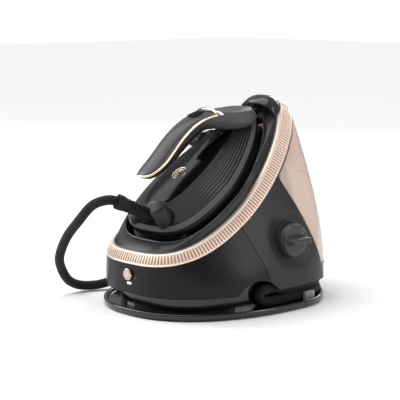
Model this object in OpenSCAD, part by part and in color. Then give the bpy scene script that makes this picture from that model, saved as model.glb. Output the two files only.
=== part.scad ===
// Steam generator iron: a pressurised base station with a sloping platform, a removable water tank at the
// back, and a hand iron that rests on the platform and is fed by a hose.
// Axes: the control button faces -Y, the water tank is at +Y, +Z is up, the floor is z = 0. Millimetres.
// Outlines are eggs: [width, reach to the front, reach to the back, y of the widest place, front power,
// back power]. "Platform frame" points are [x, a, n]: a runs up the slope, n stands square to it.

/* [Tray and body] */
// Width of the tray
tray_w = 250; // [230:1:280]
// Reach of the tray to the front
tray_front = 142; // [138:1:165]
// Reach of the tray to the back
tray_rear = 142; // [140:1:165]
// Top of the tray floor above the table
floor_z = 5; // [4:0.5:8]
// Height of the tray's lip above its floor
lip_h = 4; // [2:0.5:8]
// Width of the body at its lower edge
body_w = 226; // [210:1:236]
// Height of the body's lower edge
body_z = 26; // [22:1:32]
// Wall of the body shells
shell_wall = 2.5; // [2:0.1:3.5]
// Radius of a rubber foot
foot_r = 8; // [6:0.5:10]

/* [Trim ring and platform] */
// Width of the trim ring
ring_w = 172; // [164:1:182]
// Height of the ring's lower edge at the front
ring_z0 = 63; // [58:1:75]
// Rise of the ring from front to back
ring_rise = 175; // [160:1:190]
// Height of the ribbed band
band_h = 14; // [10:0.5:18]
// How far the band leans inwards over its height
band_in = 9; // [5:0.5:11]
// Thickness of the band
band_t = 3; // [2:0.1:4]
// Slope of the platform, degrees
tilt = 35; // [31:0.5:38]
// Height of the platform's lower end
plat_z = 86; // [82:1:92]
// Thickness of the platform plate
plat_t = 3; // [2:0.1:5]
// Height of the silicone pads on the platform
pad_h = 1.5; // [1:0.1:3]

/* [Iron] */
// Width of the iron's skirt
iron_w = 135; // [120:1:140]
// Length of the iron's skirt from heel to nose
iron_l = 222; // [206:1:226]
// Thickness of the soleplate
sole_t = 5.5; // [4:0.5:8]
// Half width of the handle grip
grip_hw = 14.5; // [13:0.5:20]
// Diameter of a steam vent in the soleplate
vent_d = 3; // [2:0.1:4]
// Travel of the steam trigger, degrees
trigger_deg = 6; // [3:0.5:7]

/* [Water tank] */
// Wall of the water tank
tank_wall = 2.4; // [1.8:0.1:3.5]
// Radius of the filling hole
fill_r = 15; // [11:0.5:17]
// Height of the filling hole
fill_z = 178; // [150:1:184]

/* [Steam side] */
// Radius of the boiler
boiler_r = 38; // [32:1:42]
// Length of the boiler
boiler_l = 132; // [110:1:144]
// Radius of the descaling knob
knob_r = 20.5; // [16:0.5:23]
// Radius of the drain bore
drain_r = 7; // [5:0.5:9]
// Radial clearance of a shaft in its bore
fit = 0.06; // [0.02:0.01:0.1]
// Gap between neighbouring covers
gap = 0.4; // [0.3:0.05:0.8]

/* [Controls and hose] */
// Radius of the power button
button_r = 5; // [4:0.1:6.5]
// Press travel of the power button
button_travel = 1.5; // [0.8:0.1:2]
// Diameter of the steam hose
hose_d = 12; // [10:0.5:12.5]

/* [Hidden] */
$fn = 48;

// ---- outlines -------------------------------------------------------------------------------------
tray_o = [tray_w, tray_front, tray_rear, 40, 2.3, 2.0];
body_o = [body_w, 136, 137, 38, 2.6, 2.8];
ring_o = [ring_w, 138, 130, -26, 2.85, 1.75];
ring_len = ring_o[1] + ring_o[2];
lean_power = 2.5;                       // how late the wall turns in towards the ring
channel_z = 46;                         // top of the hose channel
channel_in = shell_wall + hose_d + 2.5; // plinth wall, inwards from the body's outline
plinth_wall = 2;

function spow(v, p) = sign(v) * pow(abs(v), p);
function lerp(a, b, t) = a + (b - a) * t;
function clamp(v, lo, hi) = min(hi, max(lo, v));
// Point of an egg outline at angle q, moved inwards by d
function egg(q, o, d = 0) =
    let (back = sin(q) > 0, n = back ? o[5] : o[4], reach = back ? o[2] - o[3] - d : o[3] + o[1] - d)
    [(o[0] / 2 - d) * spow(cos(q), 2 / n), o[3] + reach * spow(sin(q), 2 / n)];
function outline(o, d = 0, n = 96) = [for (i = [0:n - 1]) egg(360 * i / n, o, d)];
// Unit vector inwards from an egg outline
function inward(q, o) =
    let (g = egg(q + 0.5, o) - egg(q - 0.5, o), l = norm(g)) [-g.y / l, g.x / l, 0];
// Where a rising function f of one number is zero between lo and hi
function root(f, lo, hi, n = 18) =
    n == 0 ? (lo + hi) / 2
    : let (m = (lo + hi) / 2) f(m) > 0 ? root(f, lo, m, n - 1) : root(f, m, hi, n - 1);

// ---- body surface ---------------------------------------------------------------------------------
function ring_z(y) = let (t = (y + ring_o[1]) / ring_len)
    ring_z0 + ring_rise * (0.26 * t + t * t - 0.26 * t * t * t);
function ring_slope(y) = (ring_z(y + 1) - ring_z(y - 1)) / 2;
function ring_y(z) = root(function (y) ring_z(y) - z, -ring_o[1], ring_o[2]);
// Lower edge of the band, and its upper edge
function ring_lo(q, d = 0) = let (p = egg(q, ring_o) + d * [inward(q, ring_o).x, inward(q, ring_o).y])
    [p.x, p.y, ring_z(egg(q, ring_o).y)];
function ring_hi(q, d = 0) = let (p = ring_lo(q), k = ring_slope(p.y), l = sqrt(1 + k * k))
    p + band_h * [0, -k / l, 1 / l] + (band_in + d) * inward(q, ring_o);
// Outer wall at angle q and height z, moved inwards by d
function wall_pt(q, z, d = 0) =
    let (b = egg(q, body_o, d), r = egg(q, ring_o, d), top = ring_z(egg(q, ring_o).y),
         k = pow(clamp((z - body_z) / (top - body_z), 0, 1), lean_power), p = lerp(b, r, k))
    [p.x, p.y, z];
// Parting lines in side view: the panel's front edge and the tank's front face, y as a function of z
panel_lean = 0.393;
tank_lean = 0.43;
function panel_y(z) = 8.6 - panel_lean * z;
function tank_y(z) = 110.8 - tank_lean * z;
// Lower edge of the shells, raised in an arch on both sides where the hose is tucked in
arch_y = -24;
arch_half = 30;
arch_h = 15;
function arch(y) = let (t = clamp((y - arch_y) / arch_half, -1, 1)) arch_h * pow(1 - t * t, 0.8);

// ---- platform frame -------------------------------------------------------------------------------
plat_y = -90;
function world(p) = [p.x, plat_y + p.y * cos(tilt) - p.z * sin(tilt), plat_z + p.y * sin(tilt) + p.z * cos(tilt)];
module on_platform() { translate([0, plat_y, plat_z]) rotate([tilt, 0, 0]) children(); }
iron_heel = -5;
iron_nose = iron_heel + iron_l;
skirt_o = [iron_w, -iron_heel, iron_nose, 84, 3.1, 1.32];
rim_gap = 9;                            // free width between the iron and the collar's rim
rim_o = [iron_w + 2 * rim_gap, rim_gap - iron_heel, iron_nose + rim_gap, 84, 3.1, 1.35];
rim_n = 11;                             // height of the rim over the platform
rim_t = 2.2;

// ---- solids from sections -------------------------------------------------------------------------
// Skins a list of closed loops of equal length. ends: "ring" joins last to first, "fan" closes flat
// loops, "strip" closes thin loops whose second half runs back along the first.
module skin(loops, ends = "fan") {
    n = len(loops);
    m = len(loops[0]);
    last = ends == "ring" ? n - 1 : n - 2;
    sides = [for (i = [0:last], j = [0:m - 1])
        let (k = (i + 1) % n, l = (j + 1) % m)
            each [[i * m + j, k * m + j, k * m + l], [i * m + j, k * m + l, i * m + l]]];
    h = floor(m / 2);
    strip = [for (j = [0:h - 2]) each [[j, j + 1, m - 2 - j], [j, m - 2 - j, m - 1 - j]]];
    fan = [for (j = [1:m - 2]) [0, j, j + 1]];
    cap = ends == "strip" ? strip : fan;
    top = [for (f = cap) [f[2], f[1], f[0]] + [1, 1, 1] * (n - 1) * m];
    points = [for (l = loops) each l];
    faces = ends == "ring" ? sides : concat(sides, cap, top);
    // faces must run clockwise seen from outside, which makes this sum of volumes negative
    volume = [for (f = faces) cross(points[f[0]], points[f[1]]) * points[f[2]]] * [for (f = faces) 1];
    polyhedron(points, volume > 0 ? [for (f = faces) [f[2], f[1], f[0]]] : faces);
}
// Part of the body's wall between two angle functions of the row t, from lower edge to ring
module wall_patch(q_from, q_to, cols, rows = 9) {
    low = function (q) body_z + arch(wall_pt(q, body_z).y);
    z_at = function (q, t) lerp(low(q), ring_z(egg(q, ring_o).y) - gap, t);
    starts = [for (j = [0:rows]) q_from(j / rows)];
    stops = [for (j = [0:rows]) q_to(j / rows)];
    skin([for (i = [0:cols])
        let (side = function (d) [for (j = [0:rows]) let (q = lerp(starts[j], stops[j], i / cols))
            wall_pt(q, z_at(q, j / rows), d)], inner = side(shell_wall))
        concat(side(0), [for (j = [rows:-1:0]) inner[j]])], "strip");
}
// Angle at which row t of the wall crosses a side-view line
function cross_q(t, line, off) = root(function (q)
    let (low = body_z + arch(wall_pt(q, body_z).y), z = lerp(low, ring_z(egg(q, ring_o).y) - gap, t))
    wall_pt(q, z).y - line(z) - off, -70, 80);
// Point at t between b and c on the curve through a, b, c, d
function spline(a, b, c, d, t) =
    0.5 * (2 * b + (c - a) * t + (2 * a - 5 * b + 4 * c - d) * t * t + (3 * b - a - 3 * c + d) * t * t * t);
// Curve through a list of points, with a point at least every step
function smooth(list, step) =
    let (n = len(list), pt = function (i) list[clamp(i, 0, n - 1)])
    concat([for (i = [0:n - 2]) each let (parts = ceil(norm(pt(i + 1) - pt(i)) / step))
        [for (k = [0:parts - 1]) spline(pt(i - 1), pt(i), pt(i + 1), pt(i + 2), k / parts)]], [pt(n - 1)]);
// Round tube along a list of points
module sweep(points, r, sides) {
    n = len(points);
    dirs = [for (i = [0:n - 1]) let (d = points[min(n - 1, i + 1)] - points[max(0, i - 1)]) d / norm(d)];
    turn = function (u, d) let (v = u - (u * d) * d) v / norm(v);
    us = [for (i = 0, u = turn([0.1, 0.3, 1], dirs[0]); i < n; i = i + 1, u = i < n ? turn(u, dirs[i]) : u) u];
    skin([for (i = [0:n - 1]) let (u = us[i], v = cross(dirs[i], u))
        [for (j = [0:sides - 1]) points[i] + r * (cos(360 * j / sides) * u + sin(360 * j / sides) * v)]]);
}
// A coil spring along +Z
module coil(r, wire, turns, h, sides = 6, per_turn = 12) {
    n = turns * per_turn;
    skin([for (i = [0:n]) let (q = 360 * i / per_turn, c = [r * cos(q), r * sin(q), wire + (h - 2 * wire) * i / n])
        [for (j = [0:sides - 1]) let (p = 360 * j / sides)
            c + wire * [cos(q) * cos(p), sin(q) * cos(p), sin(p)]]]);
}

// ---- base: tray, channel, shells ------------------------------------------------------------------
foot_z = 2.5;                           // height of a foot, of which 1 mm sits in the tray
tray_z = 1.5;                           // underside of the tray
feet = [[70, -70], [-70, -70], [82, 90], [-82, 90]];
module base_tray() {
    color("#141414") difference() {
        translate([0, 0, tray_z]) linear_extrude(floor_z + lip_h - tray_z) polygon(outline(tray_o));
        translate([0, 0, floor_z]) linear_extrude(lip_h + 1) polygon(outline(tray_o, 5));
        translate([0, 0, floor_z]) linear_extrude(lip_h + 1) polygon(outline(body_o, shell_wall + gap));
        for (f = feet) translate([f.x, f.y, tray_z - 1]) cylinder(r = foot_r + 0.2, h = foot_z - tray_z + 1);
    }
}
module rubber_feet() {
    color("#222") for (f = feet) translate([f.x, f.y, 0]) cylinder(r = foot_r, h = foot_z);
}
roof_front = -62;                       // the channel has a roof behind this line
outlet_at = [40, 125.4, 36];            // bend of the steam outlet
inlet_at = [58, 100, 37];               // inner end of the mains inlet
module hose_channel() {
    outer = channel_in;
    color("#161616") difference() {
        union() {
            translate([0, 0, floor_z]) linear_extrude(channel_z - floor_z) difference() {
                polygon(outline(body_o, outer));
                polygon(outline(body_o, outer + plinth_wall));
            }
            translate([0, 0, channel_z - 2]) linear_extrude(2) difference() {
                polygon(outline(body_o, shell_wall + 2));
                polygon(outline(body_o, outer + 1));
                translate([-150, roof_front - 200]) square([300, 200]);
            }
            intersection() {
                union() {
                    translate([0, 0, body_z]) linear_extrude(channel_z - body_z) difference() {
                        polygon(outline(body_o));
                        polygon(outline(body_o, shell_wall));
                    }
                    translate([0, 0, channel_z - 2]) linear_extrude(2) difference() {
                        polygon(outline(body_o, 1));
                        polygon(outline(body_o, outer));
                    }
                }
                translate([-150, tank_y(0) + gap, 0]) rotate([atan(tank_lean), 0, 0]) cube([300, 120, 200]);
            }
        }
        translate([outlet_at.x, 105, outlet_at.z]) rotate([-90, 0, 0]) cylinder(r = 4.7, h = 20);
        translate([inlet_at.x, 90, inlet_at.z]) rotate([-90, 0, 0]) cylinder(r = 6.7, h = 30);
    }
}
button_z = 50;
button_y = -137;
module body_shell() {
    right = function (t) cross_q(t, function (z) panel_y(z), -gap / 2);
    color("#1a1a1a") difference() {
        wall_patch(function (t) -180 - right(t), right, 72);
        translate([0, button_y - 3, button_z]) rotate([-90, 0, 0]) cylinder(r = button_r + 1.7, h = 12);
    }
}
module side_panel() {
    wall_patch(function (t) cross_q(t, function (z) panel_y(z), gap / 2),
        function (t) cross_q(t, function (z) tank_y(z), -gap / 2), 14);
}
module side_panel_right() {
    color("#3f3f40") difference() {
        side_panel();
        translate([90, drain_at.y, drain_at.z]) rotate([0, 90, 0]) cylinder(r = knob_r + 1.8, h = 40, $fn = 40);
    }
}
module side_panel_left() { color("#3f3f40") mirror([1, 0, 0]) side_panel(); }

// ---- ring and collar ------------------------------------------------------------------------------
ring_open = 15;                         // half angle of the gap at the back that holds the release button
button_slit = 1.4;                      // angle left free on both sides of that button, for its press
module band(q0, q1, cols) {
    skin([for (i = [0:cols]) let (q = lerp(q0, q1, i / cols))
        [ring_lo(q), lerp(ring_lo(q), ring_hi(q), 0.5) - 0.8 * inward(q, ring_o), ring_hi(q),
         ring_hi(q, band_t), ring_lo(q, band_t)]]);
}
module trim_ring() { color("#d8a988") band(90 + ring_open, 450 - ring_open, 66); }
collar_t = 2.2;
module collar() {
    n = 72;
    color("#454545") skin([for (i = [0:n - 1]) let (q = 360 * i / n, g = band_t + 2 + (abs(q - 90) <= ring_open + 2 ? 2.2 : 0),
        hi = ring_hi(q, g), down = ring_hi(q, g + collar_t) - [0, 0, collar_t],
        r = egg(q, rim_o), s = egg(q, rim_o, rim_t), e = egg(q, rim_o, 0.7),
        top = world([r.x, r.y, rim_n]), under = world([e.x, e.y, rim_n - collar_t]))
        [hi, lerp(hi, top, 0.5) + [0, -1, 2], top, world([s.x, s.y, rim_n]), world([s.x, s.y, 1]), world([e.x, e.y, 1]),
         under, lerp(down, under, 0.5) + [0, -1, 2], down, ring_lo(q, g + collar_t), ring_lo(q, g)]],
        "ring");
}
module platform() {
    color("#151515") on_platform() translate([0, 0, -plat_t]) difference() {
        linear_extrude(plat_t) polygon(outline(rim_o, rim_t + 4.7, 72));
        for (a = [40:26:170]) translate([0, a, -1]) cylinder(r = 5, h = plat_t + 2);
    }
}
pads = [[-34, 18], [34, 18], [-44, 92], [44, 92], [-24, 160], [24, 160]];
module platform_pads() {
    color("#2a2a2a") on_platform() for (p = pads) translate([p.x, p.y, 0]) cylinder(r = 7, h = pad_h);
}

// ---- nose hood and carry lock ---------------------------------------------------------------------
hood = [[224, 28, 34.5], [228, 28.5, 36], [236, 27.5, 35.5], [243, 24, 33], [249, 18.5, 28]];
hood_foot = 13.8;
module nose_hood() {
    m = 16;
    rib = function (s, d) [for (j = [0:m]) let (p = 180 * j / m)
        world([(s[1] - d) * spow(cos(p), 0.8), s[0], hood_foot + (s[2] - hood_foot - d) * spow(sin(p), 0.8)])];
    color("#26262899") skin([for (s = hood) let (inner = rib(s, 2.2)) concat(rib(s, 0), [for (j = [m:-1:0]) inner[j]])],
        "strip");
}
module release_button() {
    color("#b9bcc0") band(90 - ring_open + button_slit, 90 + ring_open - button_slit, 10);
}
latch_pos = [0, 240, 26];               // pivot of the carry latch
module latch_lever() {
    color("#202020") on_platform() translate(latch_pos) rotate([0, 90, 0]) difference() {
        translate([0, 0, -5]) linear_extrude(10) polygon([[3.5, -3.5], [3.5, 3.5], [2.5, 7], [-0.5, 7], [-3.5, 3],
            [-3, -8], [-1, -20], [5.5, -22], [5.5, -20], [2, -17], [2, -8]]);
        translate([0, 0, -6]) cylinder(r = 1.5 + fit, h = 12);
    }
}
module latch_pin() {
    color("silver") on_platform() translate(latch_pos) rotate([0, 90, 0]) cylinder(r = 1.5, h = 28, center = true);
}
module latch_spring() {
    color("silver") on_platform() translate(latch_pos + [0, 5, -6.2]) coil(1.8, 0.35, 3, 2.9);
}

// ---- inside the base ------------------------------------------------------------------------------
chassis_gap = 4;
chassis_t = 3;
chassis_angle = atan(tank_lean);
module chassis() {
    back = function (z) tank_y(z) - 3;
    low_x = function (z) egg(root(function (q) egg(q, body_o, 20).y - back(z), 0, 90), body_o, 20).x - 2;
    high_x = function (z) wall_pt(root(function (q) wall_pt(q, z).y - back(z), -70, 80), z, shell_wall + 1.5).x;
    edge = concat([for (z = [floor_z + 1.5, 20, 33, channel_z + 2]) [low_x(z), z]],
        [for (z = [channel_z + 2.5:12:156]) [high_x(z), z]]);
    c = cos(chassis_angle);
    color("#2b2b2b") difference() {
        translate([0, tank_y(0) - chassis_gap, 0]) rotate([chassis_angle + 90, 0, 0]) linear_extrude(chassis_t)
            polygon(concat([for (p = edge) [p.x, p.y / c]],
                [for (i = [len(edge) - 1:-1:0]) [-edge[i].x, edge[i].y / c]]));
        translate([0, 60, socket_z]) rotate([-90, 0, 0]) cylinder(r = socket_r, h = 60);
        translate([outlet_at.x, 60, outlet_at.z + 1.5]) rotate([-90, 0, 0]) cylinder(r = 6, h = 60);
    }
}
boiler_at = [0, -26, 62];
boiler_cap = 12;
module capsule(r, l, cap) {
    rotate_extrude() polygon(concat([[0, -l]], [for (p = [-90:18:0]) [r - cap + cap * cos(p), -l + cap + cap * sin(p)]],
        [for (p = [0:18:90]) [r - cap + cap * cos(p), l - cap + cap * sin(p)]], [[0, l]]));
}
module boiler() {
    color("#b8b8ba") translate(boiler_at) rotate([0, 90, 0]) difference() {
        capsule(boiler_r, boiler_l / 2, boiler_cap);
        capsule(boiler_r - 2, boiler_l / 2 - 2, boiler_cap - 2);
        rotate([0, -90, 0]) translate([0, 0, boiler_r - 5]) cylinder(r = 4, h = 10);
    }
}
module boiler_mounts() {
    color("#8a8d90") for (x = [-44, 41]) translate([x, 0, 0]) difference() {
        translate([0, boiler_at.y - 24, floor_z]) cube([3, 48, boiler_at.z - floor_z - 12]);
        translate([-1, boiler_at.y, boiler_at.z]) rotate([0, 90, 0]) cylinder(r = boiler_r + 0.1, h = 5);
    }
}
module boiler_heater() {
    color("#9a5a3a") translate(boiler_at) rotate([0, 90, 0]) translate([0, 0, -30]) intersection() {
        difference() {
            cylinder(r = boiler_r + 6, h = 60);
            translate([0, 0, -1]) cylinder(r = boiler_r + 0.1, h = 62);
        }
        translate([14, -26, -1]) cube([60, 52, 62]);
    }
}
module safety_valve() {
    color("#c9a24a") translate([-30, boiler_at.y, boiler_at.z + boiler_r]) {
        cylinder(r = 6, h = 4, $fn = 6);
        cylinder(r = 4, h = 9);
        translate([0, 0, 9]) cylinder(r = 5.5, h = 4);
    }
}
pump_at = [-52, 40, floor_z];
module pump() {
    color("#c8c8c8") translate(pump_at) {
        translate([-22, -16, 0]) cube([44, 4, 34]);
        translate([-18, -12, 4]) cube([36, 34, 28]);
        translate([0, -16, 18]) rotate([90, 0, 0]) cylinder(r = 6, h = 5);
        translate([0, 22, 18]) rotate([-90, 0, 0]) cylinder(r = 6, h = 6);
    }
}
module steam_valve() {
    color("#303840") translate([0, boiler_at.y, boiler_at.z + boiler_r]) {
        translate([0, 0, -5]) cylinder(r = 3.9, h = 6);
        translate([0, 0, 0.4]) cylinder(r = 8, h = 5);
        translate([-9, -9, 5]) cube([18, 18, 5]);
    }
}
// The pump's suction line from the tank, and its pressure line to the boiler
module water_tubes() {
    color("#c9d2d8") {
        sweep(smooth([[0, tank_y(socket_z) - 17, socket_z], [0, 58, socket_z - 1], [-10, 56, 54], [-32, 66, 34], [-47, 79, 24],
            [-52, 76, 23], pump_at + [0, 28.1, 18]], 14), 3, 8);
        sweep(smooth([pump_at + [0, -21, 18], [-52, 15, 23.2], [-52, 13, 28], [-52, 14.5, 38], [-52, 17, 50], [-52, 17.5, 58],
            [-52, 16.4, 62], [-52, 12.2, 62]], 12), 3, 8);
    }
}
module steam_tube() {
    color("#c9d2d8") sweep(smooth([[9, boiler_at.y, 107.5], [20, boiler_at.y + 2, 107], [34, -8, 100], [40, 14, 84],
        [42, 40, 62], [42, 66, 47], [40, 88, 38], [40, 102, 36], [40, 112, 36]], 16), 3, 8);
}
drain_at = [0, 37, 83];                 // axis of the drain, along X
module drain_pipe() {
    color("#b8b8ba") sweep(smooth([[50, 12.3, 62], [50, 19, 62], [53, 31, 74], [62, drain_at.y, drain_at.z],
        [70, drain_at.y, drain_at.z]], 12), 4, 10);
}
module main_board() {
    color("#2c6b45") {
        translate([52, 36, floor_z + 4]) cube([1.6, 38, 50]);
        for (y = [38, 56]) translate([53.6, y, floor_z + 12]) cube([10, 12, 18]);
        for (y = [38, 68]) translate([50, y, floor_z]) cube([6, 4, 4]);
    }
}
module control_board() {
    color("#2c6b45") {
        translate([-20, -124, 34]) cube([40, 1.6, 30]);
        for (x = [-18, 14]) translate([x, -122.4, 34]) cube([4, 3.6, 6]);
        translate([-4, -127, button_z - 4]) cube([8, 3, 8]);
    }
}

// ---- controls -------------------------------------------------------------------------------------
module power_button() {
    color("#e8e4df") translate([0, button_y - 1, button_z]) rotate([-90, 0, 0]) {
        cylinder(r = button_r - 1.2, h = 8.5 - button_travel);
        translate([0, 0, 3]) cylinder(r = button_r, h = 2);
    }
}
module button_ring() {
    color("#d9b8a4") translate([0, button_y - 0.9, button_z]) rotate([-90, 0, 0]) difference() {
        cylinder(r = button_r + 1.4, h = 3.4);
        translate([0, 0, -1]) cylinder(r = button_r - 0.9, h = 2.5);
        translate([0, 0, 1.5]) cylinder(r = button_r + 0.3, h = 3);
    }
}
module button_spring() {
    color("silver") translate([0, button_y + 4.2, button_z]) rotate([-90, 0, 0]) coil(4.5, 0.3, 3, 5);
}
module indicator_lens() {
    color("white") translate([0, -137.05, 39]) rotate([-90, 0, 0]) linear_extrude(0.8) hull()
        for (x = [-2.2, 2.2]) translate([x, 0]) circle(r = 1.6, $fn = 24);
}
knob_x = 101;                           // back of the knob
well_lean = 12.3;                       // slope of the well's mouth, following the panel, degrees
module drain_socket() {
    color("#202020") difference() {
        translate([70, drain_at.y, drain_at.z]) rotate([0, 90, 0]) difference() {
            union() {
                cylinder(r = drain_r + 4, h = 24);
                translate([0, 0, 21]) cylinder(r = knob_r + 1.6, h = 18);
            }
            translate([0, 0, 4]) cylinder(r = drain_r, h = 30);
            translate([0, 0, -1]) cylinder(r = 4.2, h = 8);
            translate([0, 0, 23.5]) cylinder(r = knob_r + 0.5, h = 20);
        }
        translate([104, drain_at.y, drain_at.z]) rotate([0, -well_lean, 0]) translate([0, -40, -40]) cube([40, 80, 80]);
    }
}
module drain_plug() {
    color("#5a5a5a") translate([80, drain_at.y, drain_at.z]) rotate([0, 90, 0]) difference() {
        cylinder(r = drain_r - fit, h = knob_x - 80 + 6);
        translate([0, 0, 4]) rotate_extrude() translate([drain_r - fit - 0.3, 0]) circle(r = 1.2);
    }
}
module plug_seal() {
    color("#b04a30") translate([84, drain_at.y, drain_at.z]) rotate([0, 90, 0])
        rotate_extrude() translate([drain_r - fit - 0.75, 0]) circle(r = 0.7);
}
module descaling_knob() {
    color("#4a4a4c") translate([knob_x, drain_at.y, drain_at.z]) rotate([0, 90, 0]) {
        difference() {
            cylinder(r = knob_r, h = 11);
            translate([0, 0, -1]) cylinder(r = drain_r, h = 7.3);
            translate([0, 0, -1]) cylinder(r = knob_r - 3, h = 3.5);
        }
        translate([-4.5, -16.5, 11]) cube([9, 33, 12]);
    }
}

// ---- water tank -----------------------------------------------------------------------------------
tank_low = channel_z + 1;
tank_high = 222;
ring_clear = 3.5;
function tank_front(z) = max(tank_y(z) + gap, ring_y(min(z + ring_clear, ring_z0 + ring_rise)));
module tank_form(z0, z1, d, rows = 12, cols = 28) {
    skin([for (j = [0:rows]) let (z = lerp(z0, z1, j / rows), y = tank_front(z) + 1.25 * d,
        q0 = root(function (q) wall_pt(q, z, d).y - y, -60, 88))
        [for (i = [0:cols]) wall_pt(lerp(q0, 180 - q0, i / cols), z, d)]]);
}
module water_tank() {
    color("#f0cdb4b0") difference() {
        tank_form(tank_low, tank_high, 0);
        tank_form(tank_low + tank_wall, tank_high - tank_wall, tank_wall);
        translate([0, 110, fill_z]) rotate([-90, 0, 0]) cylinder(r = fill_r, h = 40);
        translate([0, 60, socket_z]) rotate([-90, 0, 0]) cylinder(r = 5, h = 40);
    }
}
door_y = 137.5;                         // inner face of the filling door
hinge_z = fill_z - fill_r - 6;
module filling_door() {
    color("#e6bfa4") {
        translate([0, door_y, fill_z]) rotate([-90, 0, 0]) cylinder(r = fill_r + 3, h = 2.5);
        translate([0, door_y - 8, fill_z]) rotate([-90, 0, 0]) difference() {
            cylinder(r = fill_r - 1, h = 8.5);
            translate([0, 0, -1]) cylinder(r = fill_r - 3, h = 9);
        }
        difference() {
            translate([-8, door_y - 0.5, hinge_z - 2.5]) cube([16, 3, 8]);
            translate([-10, door_y + 1, hinge_z]) rotate([0, 90, 0]) cylinder(r = 1.2 + fit, h = 20);
        }
    }
}
module door_pin() {
    color("silver") translate([-12, door_y + 1, hinge_z]) rotate([0, 90, 0]) cylinder(r = 1.2, h = 24);
}
socket_z = 64;
socket_r = 9;
module tank_valve() {
    color("#dfe3e6") translate([0, tank_y(socket_z) - 8, socket_z]) rotate([-90, 0, 0]) {
        cylinder(r = 4.8, h = 19);
        translate([0, 0, 16.5]) cylinder(r = 8, h = 3);
    }
}
module valve_socket() {
    color("#3a3a3a") translate([0, tank_y(socket_z) - 17, socket_z]) rotate([-90, 0, 0]) difference() {
        union() {
            cylinder(r = socket_r - 0.3, h = 12.5);
            cylinder(r = socket_r + 3, h = 3);
        }
        translate([0, 0, 2]) cylinder(r = 5.2, h = 20);
    }
}
module hose_outlet() {
    color("#303030") translate(outlet_at) difference() {
        union() {
            translate([-10, 0, 0]) rotate([0, 90, 0]) cylinder(r = 6, h = 14.5);
            rotate([90, 0, 0]) cylinder(r = 4.5, h = 13.4);
        }
        translate([-11, 0, 0]) rotate([0, 90, 0]) cylinder(r = 2.2, h = 11);
        rotate([90, 0, 0]) cylinder(r = 2.2, h = 14);
    }
}
module mains_inlet() {
    color("#1c1c1c") translate(inlet_at) rotate([-90, 0, 0]) difference() {
        union() {
            cylinder(r = 6.5, h = 16);
            cylinder(r = 9, h = 3);
        }
        translate([0, 0, -1]) cylinder(r = 3.6, h = 18);
    }
}
module hose_clip() {
    color("#8d9092") difference() {
        union() {
            translate([108.8, 53, floor_z]) cube([4, 17, 11]);
            for (y = [54:3.6:68]) translate([112.8, y, floor_z + 1]) cube([0.9, 1.6, 9]);
        }
        translate([110.8, 61.5, floor_z - 1]) cylinder(r = 1.2, h = 14);
    }
}
screws = [[-80, -52], [80, -52], [-80, 74], [80, 74]];
module body_screws() {
    color("silver") for (s = screws) translate([s.x, s.y, floor_z]) {
        cylinder(r = 3.2, h = 2.2);
        cylinder(r = 1.6, h = 9);
    }
}

// ---- iron -----------------------------------------------------------------------------------------
sole_n = pad_h;                         // the soleplate rests on the pads
sole_top = sole_n + sole_t;
sole_in = 5;
skirt_n0 = sole_top + 0.6;
skirt_n1 = 19;
body_n0 = skirt_n1 + 0.4;
module soleplate() {
    color("#8f9296") on_platform() translate([0, 0, sole_n]) difference() {
        linear_extrude(sole_t) polygon(outline(skirt_o, sole_in));
        for (k = [0:5], s = [-1, 1]) translate([s * (44 - k * 6.5), 60 + k * 21, -1])
            cylinder(d = vent_d, h = sole_t + 2);
    }
}
module steam_chamber() {
    color("#a9abae") on_platform() translate([0, 0, sole_top]) difference() {
        linear_extrude(12) polygon(outline(skirt_o, 19));
        translate([0, 0, 3]) linear_extrude(6) polygon(outline(skirt_o, 27));
        translate([0, 30, 5]) cylinder(r = 3, h = 10);
    }
}
// Point of the iron's outer form at angle q and height n over the platform
body_top = 40;
function iron_pt(q, n, d = 0) =
    let (t = clamp((n - skirt_n1) / (body_top - skirt_n1), 0, 1), e = egg(q, skirt_o, d),
         c = egg(q, [62, -20, 176, 84, 2.6, 1.7], d), k = pow(t, 1.25))
    [lerp(e.x, c.x, k), lerp(e.y, c.y, k), n];
module heat_skirt() {
    n = 96;
    color("#101010") skin([for (i = [0:n - 1])
        let (q = 360 * i / n, pt = function (d, h) let (e = egg(q, skirt_o, d)) world([e.x, e.y, h]))
        [pt(2.5, skirt_n0), pt(0, skirt_n0 + 4), pt(0, skirt_n1), pt(3.2, skirt_n1), pt(3.2, skirt_n0 + 2),
         pt(4.4, skirt_n0)]], "ring");
}
module iron_body() {
    n = 80;
    rows = 7;
    wall = 2.4;
    level = function (j, d) lerp(body_n0, body_top - d, 1 - pow(1 - j / rows, 1.6));
    loop = function (j, d) [for (i = [0:n - 1]) world(iron_pt(360 * i / n, level(j, d), d))];
    color("#171717") skin(concat([for (j = [rows:-1:0]) loop(j, wall)], [for (j = [0:rows]) loop(j, 0)]));
}
// The iron body's outside as a solid, a little larger, to trim what stands on it
module iron_form() {
    skin([for (n = [skirt_n1 - 3, 22, 25, 28, 32, 36, body_top + 0.3]) [for (i = [0:79]) world(iron_pt(4.5 * i, n, -0.4))]]);
}

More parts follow.
